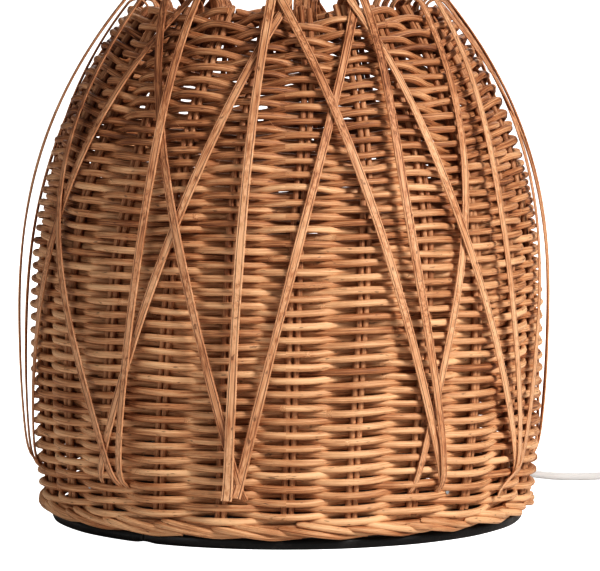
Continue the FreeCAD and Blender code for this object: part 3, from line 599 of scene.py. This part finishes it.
def stake_lean(angle, level):
    """How far the stakes near an angle stand aside at a level, in radians.

    They all turn steadily as they rise, and each wanders a little, more so near the rim.
    """
    turn = STAKE_TWIST * (np.asarray(level, float) - 0.02) / 0.23 - STAKE_TWIST_START
    return turn + STAKE_LEAN(angle, level) * np.radians(0.25 + 0.8 * looseness(level))


def course_tone(angle, rng):
    """Tone along a course: a few canes end to end, each a little lighter or darker."""
    breaks = np.sort(rng.uniform(0, TAU, rng.integers(1, 4)))
    tones = rng.normal(0.5, 0.34, len(breaks) + 1)
    tones[-1] = tones[0]
    return tones[np.searchsorted(breaks, np.mod(angle, TAU))]


def weave():
    """The courses, one piece for each band of the frame."""
    step = (WEAVE_HIGH - WEAVE_LOW) / BANDS
    for index, name in enumerate(BAND_NAMES):
        canes = Canes()
        low, high = WEAVE_LOW + index * step, WEAVE_LOW + (index + 1) * step
        for course in range(COURSES):
            level = FIRST_COURSE + course * COURSE_PITCH
            if (level < low and index > 0) or level >= high:
                continue
            rng = np.random.default_rng(500 + course)
            last = course == COURSES - 1
            spans = LAST_COURSE_SPANS if last else [(0.0, 360.0)]
            for start, end in spans:
                angle = np.radians(np.linspace(start, end, round(STATIONS * (end - start) / 360),
                                               endpoint=last))
                centre, normal, sway = course_path(course, angle)
                across, outward = frames(centre, normal, closed=not last)
                lumps = waves(3000 + course, 6, 12)(angle)
                thick = WEAVER_RADIUS * (1 + rng.normal(0, 0.035) + 0.03 * lumps)
                x, y = round_section(thick)
                squeezed = 1 + BACK_SPREAD * smooth_step(0.5 - sway)[:, None]
                canes.add(centre, across, outward, (x * squeezed, y),
                          course_tone(angle, rng), closed=not last)
        piece = canes.build(f"weave_courses_{index + 1}", WEAVER_CANE)
        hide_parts(name)
        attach(piece, "lamp")


STAKE_FOOT = 0.0185
STAKE_PROUD = (0.0004, 0.0030)  # the least and the most a stake stands past the weave


def stakes():
    """Pairs of round stakes that follow the middle of the wall and stand just past the rim."""
    canes = Canes()
    for pair in range(STAKE_PAIRS):
        rng = np.random.default_rng(40 + pair)
        for side in (-1, 1):
            top = WEAVE_HIGH + rng.uniform(*STAKE_PROUD)
            level = np.linspace(STAKE_FOOT, top, 96)
            base = STAKE_TURN + pair * STAKE_STEP
            radius, _ = outline(level)
            part = STAKE_RADIUS * (1.04 + 0.12 * np.abs(waves(70 + pair, 4, 3)(level * 9)))
            angle = base + stake_lean(base, level) + side * part / (radius - WALL / 2)
            depth = WALL / 2 + 0.0002 * waves(90 + 2 * pair + side, 5, 6)(level * 12)
            centre, normal = on_wall(angle, level, depth)
            across, outward = frames(centre, normal)
            thick = STAKE_RADIUS * (1 + rng.normal(0, 0.03)) * np.ones(len(level))
            canes.add(centre, across, outward, round_section(thick, 8),
                      rng.normal(0.85, 0.25))
    piece = canes.build("stakes", STAKE_CANE)
    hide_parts(*[f"stake_set_{i + 1:02d}" for i in range(12)])
    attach(piece, "lamp")


# ---------------------------------------------------------------- crossing strips

# Where the strips start at the foot and end at the rim, for each of the ten bunches, in
# degrees: the strip that leans left, the upright one and the one that leans right.
FEET = [
    (-84, -83, -81), (-40, -38, -45.5), (-9, -12.2, -10.6), (36, 35.5, 28.5), (61, 60, 63.5),
    (98, 100, 95.5), (134, 136.5, 131), (171, 173, 168.5), (207, 209, 204), (242, 244.5, 240),
]
RIMS = [
    (-64, -79, -88), (-47, -31.5, -37), (-1.5, -5, 0.5), (22.5, 27, 24.5), (67.5, 63.5, 56),
    (96, 99, 91), (133, 137, 129.5), (172, 175.5, 169), (209, 213, 206), (247, 243, 250),
]
SWAYS = [  # how far each strip sways aside, in degrees, above the middle of its height
    (-2, 1.5, 2), (-9, 4, 2), (1, 0, -0.5), (-0.5, -5.5, 2.2), (-4.8, -8.5, 0),
    (2, -3, 1), (-2, 3, 1.5), (2.5, -2, -1.5), (-1.5, 4, 2), (3, -3.5, 1),
]
SWAY_RISE = 1.4
LAYERS = (1, 2, 0)  # how many strips lie under the left-leaning, the upright, the right-leaning
STRIP_HALF, STRIP_HALF_THICK, STRIP_TUCK = 0.00275, 0.00075, 0.018
STRIP_FOOT, FOOT_DIP = 0.0325, -0.0052
LAYER_FIRST, LAYER_STEP = 0.0010, 0.0019
SPLAYED_BUNCH, SPLAY_KICK = 2, 0.0035
LOOSE_BUNCH, LOOSE_BOW = 0, 0.0025  # its upright strip stands off the weave


def strip_path(foot, rim, sway, rise, bow, kick, low):
    """Centre and outward hint of a taut strip.

    It turns round the shade at a rate that goes with one over the radius squared and sways aside
    by sway times the sine of half a turn over its height to the power SWAY_RISE. It stands off
    the weave by rise plus bow times the sine of half a turn over its height, dips in (or kicks
    out) near the foot, passes over the rim in a half circle and ends inside.
    """
    level = np.linspace(low, RIM_LEVEL, 72)
    radius, slope = outline(level)
    pace = np.sqrt(1 + slope ** 2) / radius ** 2
    share = np.concatenate([[0.0], np.cumsum((pace[1:] + pace[:-1]) / 2)])
    share /= share[-1]
    height = (level - low) / (RIM_LEVEL - low)
    aside = sway * np.sin(math.pi * height ** SWAY_RISE)
    angle = np.radians(foot + (rim - foot) * share + aside)
    lift = rise + bow * np.sin(math.pi * height) + kick * np.exp(-(level - low) / 0.0055)
    outside, hint = on_wall(angle, level, -lift)
    middle, out = on_wall(angle[-1:], level[-1:], WALL / 2)
    side = np.array([np.cos(angle[-1]), np.sin(angle[-1]), 0.0])
    up = np.cross(out[0], side) * -1
    up *= np.sign(up[2])
    swing = np.linspace(0, math.pi, 12)[1:, None]
    over_hint = np.cos(swing) * out + np.sin(swing) * up
    over = middle + (WALL / 2 + rise) * over_hint
    down = np.linspace(RIM_LEVEL, RIM_LEVEL - STRIP_TUCK, 7)[1:]
    inside, in_hint = on_wall(angle[-1] + 0 * down, down, WALL + rise + 0 * down)
    return np.vstack([outside, over, inside]), np.vstack([hint, over_hint, -in_hint])


def strips():
    """Thirty flat strips in ten bunches, each fanning out to three places on the rim."""
    count = len(FEET)
    for bunch, (feet, sways) in enumerate(zip(FEET, SWAYS)):
        canes = Canes()
        rng = np.random.default_rng(700 + bunch)
        for lean, foot, sway, layer in zip((-1, 0, 1), feet, sways, LAYERS):
            place = bunch + lean
            rim = RIMS[place % count][lean + 1] + 360 * (place // count)
            splayed = bunch == SPLAYED_BUNCH and lean != -1
            kick = SPLAY_KICK if splayed else FOOT_DIP - LAYER_STEP * layer
            low = STRIP_FOOT + rng.uniform(-0.002, 0.003)
            rise = LAYER_FIRST + LAYER_STEP * layer
            slack = LOOSE_BOW if bunch == LOOSE_BUNCH and lean == 0 else 0
            bow = rng.uniform(0.0004, 0.0020) + slack
            centre, hint = strip_path(foot, rim, sway, rise, bow, kick, low)
            across, outward = frames(centre, hint)
            n = len(centre)
            station = np.linspace(0, 1, n)
            twist = (0.10 * waves(720 + 3 * bunch + lean, 4, 3)(station * 5))[:, None]
            across, outward = (across * np.cos(twist) + outward * np.sin(twist),
                               outward * np.cos(twist) - across * np.sin(twist))
            fray = np.exp(-station * 14)
            spread = 0.25 if splayed else -0.28
            lumps = waves(750 + bunch, 4, 6)(station * 6)
            wide = STRIP_HALF * (1 + rng.normal(0, 0.04)) * (1 + spread * fray + 0.03 * lumps)
            thick = STRIP_HALF_THICK * (1 + 0 * station)
            tone = rng.normal(0.55, 0.22) + 0.12 * waves(780 + bunch, 4, 5)(station * 6)
            canes.add(centre, across, outward, flat_section(wide, thick), tone)
        piece = canes.build(f"strips_{bunch + 1}", STRIP_CANE)
        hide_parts(f"strip_bunch_{bunch + 1:02d}")
        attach(piece, "lamp")


# ---------------------------------------------------------------- foot border

BORDER_SWELL = (  # share of a cane's run, and its radius round the shade there
    (0, 0.08, 0.30, 0.50, 0.64, 0.80, 1.0),
    (0.1576, 0.1602, 0.1616, 0.1602, 0.1574, 0.1554, 0.1546),
)
BORDER_TAIL_LIFT = 0.0018
BORDER_TIP = 0.25  # how far the border's outward direction leans down
BORDER_HEADS = (  # side of the pair, start of its run in radians, level at its head and its tail
    (0, -0.052, 0.0136, 0.0068), (1, 0.006, 0.0162, 0.0084),
)
BORDER_CORES = ((0.1540, 0.0098), (0.1570, 0.0142), (0.1530, 0.0142), (0.1562, 0.0108))
BORDER_CORE_RADIUS, BORDER_CORE_TONE = 0.0021, 0.1


def foot_border():
    """Each pair of stakes comes out over the foot and runs down to the right under the next.

    Along a cane, with s from 0 at its head to 1 at its tucked end, the level falls as a smooth
    step; the radius swells over the first part of the run and draws in under the next pair.
    """
    canes = Canes()
    share = np.linspace(0, 1, 34)
    for pair in range(STAKE_PAIRS):
        rng = np.random.default_rng(60 + pair)
        for side, lead, head, tail in BORDER_HEADS:
            reach = STAKE_STEP * (1.42 + rng.normal(0, 0.05))
            base = STAKE_TURN + pair * STAKE_STEP + lead + rng.normal(0, 0.008)
            angle = base + reach * share
            fall = np.clip(0.94 * share + 0.25 * smooth_step(share), 0, 1.05)
            level = head + (tail - head) * fall + 0.0003 * rng.normal()
            level = level + BORDER_TAIL_LIFT * smooth_step((share - 0.64) / 0.30)
            swell = np.interp(share, *BORDER_SWELL)
            swell = np.convolve(np.pad(swell, 2, mode="edge"), np.ones(5) / 5, mode="valid")
            radius = swell + 0.0003 * (0.5 - side)
            centre = around(angle, radius, level)
            hint = around(angle, 1.0, -BORDER_TIP)
            across, outward = frames(centre, hint)
            taper = 1 - 0.40 * smooth_step((share - 0.60) / 0.4) - 0.28 * np.exp(-share * 60)
            thick = WEAVER_RADIUS * (1 + rng.normal(0, 0.04)) * taper
            canes.add(centre, across, outward, round_section(thick), rng.normal(0.5, 0.3))
    angle = np.linspace(0, TAU, 120, endpoint=False)
    for radius, level in BORDER_CORES:
        centre = around(angle, radius, level)
        hint = around(angle, 1.0, 0.0)
        across, outward = frames(centre, hint, closed=True)
        section = round_section(BORDER_CORE_RADIUS + 0 * angle, 8)
        canes.add(centre, across, outward, section, BORDER_CORE_TONE, closed=True)
    piece = canes.build("foot_border_canes", WEAVER_CANE)
    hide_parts("foot_border")
    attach(piece, "lamp")


# ---------------------------------------------------------------- splinters

LOOSE_FIBRES = 150


def splinters():
    """Fine loose fibres, and one thin strip end that curls away near the foot on the right."""
    canes = Canes()
    rng = np.random.default_rng(31)
    share = np.linspace(0, 1, 9)
    for _ in range(LOOSE_FIBRES):
        angle0, level0 = rng.uniform(0, TAU), rng.uniform(0.02, 0.32)
        length, heading = rng.uniform(0.005, 0.016), rng.normal(0, 1.1)
        radius = float(outline(level0)[0])
        angle = angle0 + math.cos(heading) * length / radius * share
        level = level0 + math.sin(heading) * length * share + rng.normal(0, 0.003) * share ** 2
        lift = -0.0006 + rng.uniform(0.0004, 0.0040) * share ** 1.6
        centre, hint = on_wall(angle, level, -lift)
        across, outward = frames(centre, hint)
        thick = rng.uniform(0.00009, 0.00020) * (1 - 0.7 * share)
        canes.add(centre, across, outward, round_section(thick, 6), 1.1)
    share = np.linspace(0, 1, 26)
    level = 0.060 - 0.034 * share ** 1.5
    curl = 7.5 * smooth_step((share - 0.55) / 0.45)
    angle = np.radians(61.5 - 0.6 * np.sin(math.pi * share) - curl)
    centre, hint = on_wall(angle, level, -0.0012 - 0.0036 * np.sin(math.pi * share))
    across, outward = frames(centre, hint)
    canes.add(centre, across, outward, flat_section(0.0010 + 0 * share, 0.0004), 0.9)
    piece = canes.build("loose_fibres", STRIP_CANE)
    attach(piece, "lamp")


# ---------------------------------------------------------------- base edging

EDGING_LIP, EDGING_THICK = 0.009, 0.0035
EDGING_JOINT, EDGING_GAP = -35, 0.0008  # degrees from the front, and metres between the ends


def edging():
    """A soft L-shaped strip round the board, its two ends butted at the front left.

    The L is carried round in a circle. Its outer face wanders a little, and swells by a bell curve
    next to the joint.
    """
    board = float(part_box("base_board")[1][0])
    inner, outer = board - EDGING_LIP, board + EDGING_THICK
    joint, gap = math.radians(EDGING_JOINT), EDGING_GAP / board
    angle = np.linspace(joint + gap / 2, joint + TAU - gap / 2, 361)
    from_joint = np.minimum(angle - angle[0], angle[-1] - angle) * board
    bump = np.exp(-(from_joint / 0.0045) ** 2)
    wander = 0.00016 * waves(801, 9, 40)(angle)
    profile = [
        (board, 0.0010), (inner, 0.0010), (inner, 0.0000), (outer - 0.0016, 0.0000),
        (outer - 0.0005, 0.0004), (outer, 0.0014), (outer + 0.0002, 0.0036), (outer, 0.0056),
        (outer - 0.0006, 0.0066), (outer - 0.0014, 0.0069), (board, 0.0069), (board, 0.0040),
    ][::-1]
    r = np.array([p[0] for p in profile])
    z = np.array([p[1] for p in profile])
    edge = (r > board + 0.0005)
    radius = r[None, :] + edge * (wander + 0.0009 * bump)[:, None]
    level = z[None, :] + ((z > 0.003) & edge) * (0.0008 * bump + 0.5 * wander)[:, None]
    level = np.where(z[None, :] < 0.0005, level + edge * 0.0012 * bump[:, None], level)
    n, sides = radius.shape
    points = around(angle[:, None], radius, level)
    i, k = np.meshgrid(np.arange(n - 1), np.arange(sides), indexing="ij")
    m = (k + 1) % sides
    faces = np.stack([i * sides + k, i * sides + m, (i + 1) * sides + m, (i + 1) * sides + k], -1)
    piece = mesh_object("edging", points.reshape(-1, 3), faces.reshape(-1, 4), EDGING)
    close_ends(piece, 50)
    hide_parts("edging_strip")
    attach(piece, "lamp")


# ---------------------------------------------------------------- finishes of the kept nodes

def finish_node(name, material):
    """Gives a kept node its finish."""
    obj = bpy.data.objects[name]
    obj.data.materials.clear()
    obj.data.materials.append(material)


for node_name, material in (
    ("base_board", BOARD), ("base_brackets", ZINC), ("bracket_screws", ZINC),
    ("holder_screws", ZINC), ("holder_base", BLACK_PLASTIC), ("holder_shell", BLACK_PLASTIC),
    ("porcelain_insert", PORCELAIN), ("screw_sleeve", BRASS), ("centre_contact", BRASS),
    ("plug_pins", NICKEL), ("switch_base", WHITE_PLASTIC),
    ("switch_cover", WHITE_PLASTIC), ("rocker", WHITE_PLASTIC), ("cord_grip", WHITE_SHEATH),
    ("inner_lead", WHITE_SHEATH),
):
    finish_node(node_name, material)


# ---------------------------------------------------------------- plug

PLUG_STATIONS = (  # share of the plug's length from its tail, half width, half thickness
    (0.0, 0.0048, 0.0048), (0.05, 0.0058, 0.0055), (0.16, 0.0068, 0.0060), (0.34, 0.0106, 0.0066),
    (0.52, 0.0148, 0.0069), (0.66, 0.0164, 0.0070), (0.84, 0.0162, 0.0070), (0.95, 0.0150, 0.0066),
    (1.0, 0.0134, 0.0056),
)
SLEEVE_RIBS, SLEEVE_LENGTH = 7, 0.022
SLEEVE_RADIUS, SLEEVE_TAPER, RIB_HIGH = 0.0048, 0.0014, 0.00035


def lofted(name, centre, across, up, half_wide, half_high, power, material, sides=36):
    """A closed body: squared-off ovals along a path, each end closed by a cap at its middle.

    A point of an oval is the centre, plus across * w * |cos|^(2/power), plus
    up * h * |sin|^(2/power), with the signs of the cosine and sine.
    """
    turn = np.arange(sides) * TAU / sides
    x = np.sign(np.cos(turn)) * np.abs(np.cos(turn)) ** (2 / power)
    y = np.sign(np.sin(turn)) * np.abs(np.sin(turn)) ** (2 / power)
    centre = np.asarray(centre, float)
    points = (centre[:, None, :] + np.outer(half_wide, x)[:, :, None] * np.asarray(across)
              + np.outer(half_high, y)[:, :, None] * np.asarray(up))
    n = len(centre)
    i, k = np.meshgrid(np.arange(n - 1), np.arange(sides), indexing="ij")
    m = (k + 1) % sides
    faces = np.stack([i * sides + k, (i + 1) * sides + k, (i + 1) * sides + m, i * sides + m], -1)
    piece = mesh_object(name, points.reshape(-1, 3), faces.reshape(-1, 4), material)
    close_ends(piece, 40)
    return piece


def plug():
    """A flat moulded plug, rounded all over, with a ribbed sleeve round its end of the cord."""
    low, high = (np.array(corner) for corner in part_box("plug_body"))
    rear = np.array([(low[0] + high[0]) / 2, high[1], (low[2] + high[2]) / 2])
    length = high[1] - low[1]
    share, wide, thick = np.array(PLUG_STATIONS).T
    fine = np.linspace(0, 1, 40)
    centre = rear - np.outer(fine, (0.0, length, 0.0))
    half_wide, half_high = np.interp(fine, share, wide), np.interp(fine, share, thick)
    smooth = np.ones(5) / 5
    half_wide[2:-2] = np.convolve(half_wide, smooth, mode="valid")
    half_high[2:-2] = np.convolve(half_high, smooth, mode="valid")
    shell = lofted("plug_shell", centre, (1, 0, 0), (0, 0, 1), half_wide, half_high, 3.0,
                   WHITE_PLASTIC)
    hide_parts("plug_body")
    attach(shell, "lamp")
    back = np.array(TO_PLUG[0]) - rear
    back /= np.linalg.norm(back)
    side = np.cross(back, (0, 0, 1))
    side /= np.linalg.norm(side)
    fine = np.linspace(0, 1, 60)
    ribs = RIB_HIGH * np.sin(TAU * SLEEVE_RIBS * fine)
    radius = SLEEVE_RADIUS - SLEEVE_TAPER * fine + ribs
    centre = rear + np.outer(fine * SLEEVE_LENGTH - 0.001, back)
    sleeve = lofted("plug_sleeve", centre, side, np.cross(side, back), radius, radius, 2.0,
                    WHITE_PLASTIC, sides=20)
    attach(sleeve, "lamp")
    return [shell, sleeve]


# ---------------------------------------------------------------- cord

CORD_RADIUS, CORD_LENGTH = 0.0029, 1.75
LIE = CORD_RADIUS + 0.0001  # the cord's middle where it lies on the surface
EXIT_POINT = (0.10904, 0.15007, 0.024)
TO_SWITCH = [
    EXIT_POINT, (0.1195, 0.164, 0.0232), (0.1345, 0.1715, 0.0175), (0.1515, 0.1715, 0.0098),
    (0.1685, 0.1665, 0.0044), (0.187, 0.160, LIE), (0.205, 0.1563, LIE), (0.2225, 0.1525, 0.0042),
    (0.240, 0.1486, 0.007),
]
TO_COIL = [
    (0.2991, 0.1382, 0.007), (0.315, 0.1346, 0.0046), (0.3305, 0.125, LIE), (0.340, 0.108, LIE),
]
TO_PLUG = [(0.341, 0.054, 0.0088), (0.343, 0.016, 0.007)]
COIL_CENTRE, COIL_OUTER_TURN = (0.300, 0.072), 0.0424
COIL_TURNS, TURN_PITCH, TURN_POINTS = 7.13, 0.0059, 18
COIL_START, CLIMB_TURNS = math.radians(21), 0.7


def coil_points():
    """Clockwise turns: in along the surface, up one cord's thickness, and out again on top."""
    count = round(COIL_TURNS * TURN_POINTS)
    points = []
    for i in range(count + 1):
        turns = i / TURN_POINTS
        inward = min(turns, COIL_TURNS - turns)
        radius = COIL_OUTER_TURN - TURN_PITCH * inward
        climb = smooth_step((turns - COIL_TURNS / 2 + CLIMB_TURNS / 2) / CLIMB_TURNS)
        angle = COIL_START - TAU * turns
        points.append((COIL_CENTRE[0] + radius * math.cos(angle),
                       COIL_CENTRE[1] + radius * math.sin(angle),
                       LIE + TURN_PITCH * float(climb)))
    return points


def cord():
    """The mains cord, one smooth curve from the grip by the switch and the coil to the plug."""
    route = TO_SWITCH + TO_COIL + coil_points() + TO_PLUG
    data = bpy.data.curves.new("mains_cord", "CURVE")
    data.dimensions = "3D"
    data.bevel_depth = CORD_RADIUS
    data.bevel_resolution = 4
    data.resolution_u = 6
    data.use_fill_caps = True
    line = data.splines.new("NURBS")
    line.points.add(len(route) - 1)
    for point, place in zip(line.points, route):
        point.co = (*place, 1.0)
    line.order_u = 3
    line.use_endpoint_u = True
    data.materials.append(WHITE_SHEATH)
    piece = bpy.data.objects.new("mains_cord", data)
    bpy.context.collection.objects.link(piece)
    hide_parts("cord_to_switch", "cord_to_coil", "cord_to_plug", "cord_coil")
    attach(piece, "lamp")
    nodes = [bpy.data.objects[n] for n in ("switch_base", "switch_cover", "rocker", "plug_pins",
                                           "cord_grip")]
    nodes + plug()


cord()
weave()
stakes()
strips()
foot_border()
splinters()
edging()


# ---------------------------------------------------------------- stage

def backdrop_material():
    """White paper: it takes light and shadow as paper does, and looks nearly white by itself."""
    material, shader = principled("white_paper", 0.9, colour=(0.85, 0.85, 0.85, 1.0))
    tree = material.node_tree
    path = tree.nodes.new("ShaderNodeLightPath")
    shader.inputs["Emission Color"].default_value = (1.0, 1.0, 1.0, 1.0)
    tree.links.new(math_node(tree, "MULTIPLY", path.outputs["Is Camera Ray"], PAPER_GLOW),
                   shader.inputs["Emission Strength"])
    return material


PAPER_GLOW, WORLD_LIGHT = 0.80, 0.135
FLOOR_NEAR, FLOOR_FAR, SWEEP, PAPER_TOP, PAPER_HALF = -6.0, 5.0, 1.5, 6.0, 7.0
LIGHT_AIM = (0, 0, 0.15)
LIGHTS = (  # name, place, size, watts, tint
    ("key", (1.9, -1.9, 1.7), 0.8, 67, (1.0, 0.985, 0.96)),
    ("fill", (-2.0, -1.8, 1.0), 1.6, 10.5, (0.96, 0.98, 1.0)),
    ("back", (0.3, 2.2, 2.0), 2.0, 26, (1.0, 1.0, 1.0)),
)


def stage():
    """A white floor that rises into a backdrop, and soft lights."""
    turn = np.linspace(0, math.pi / 2, 12)
    sweep = [(FLOOR_FAR + SWEEP * math.sin(a), SWEEP - SWEEP * math.cos(a)) for a in turn]
    profile = [(FLOOR_NEAR, 0.0), *sweep, (FLOOR_FAR + SWEEP, PAPER_TOP)]
    points = [(x, y, z) for y, z in profile for x in (-PAPER_HALF, PAPER_HALF)]
    faces = [(2 * i, 2 * i + 1, 2 * i + 3, 2 * i + 2) for i in range(len(profile) - 1)]
    floor = mesh_object("backdrop", points, faces, backdrop_material())
    world = bpy.data.worlds.new("world")
    world.use_nodes = True
    world.node_tree.nodes["Background"].inputs["Color"].default_value = (1.0, 1.0, 1.0, 1.0)
    world.node_tree.nodes["Background"].inputs["Strength"].default_value = WORLD_LIGHT
    bpy.context.scene.world = world
    for name, place, wide, power, tint in LIGHTS:
        data = bpy.data.lights.new(name, "AREA")
        data.size = wide
        data.energy = power
        data.color = tint
        lamp = bpy.data.objects.new(name, data)
        lamp.location = place
        towards = Vector(LIGHT_AIM) - lamp.location
        lamp.rotation_euler = towards.to_track_quat("-Z", "Y").to_euler()
        bpy.context.collection.objects.link(lamp)
    bpy.context.scene.view_settings.view_transform = "Standard"
    bpy.context.scene.view_settings.look = "High Contrast"


stage()
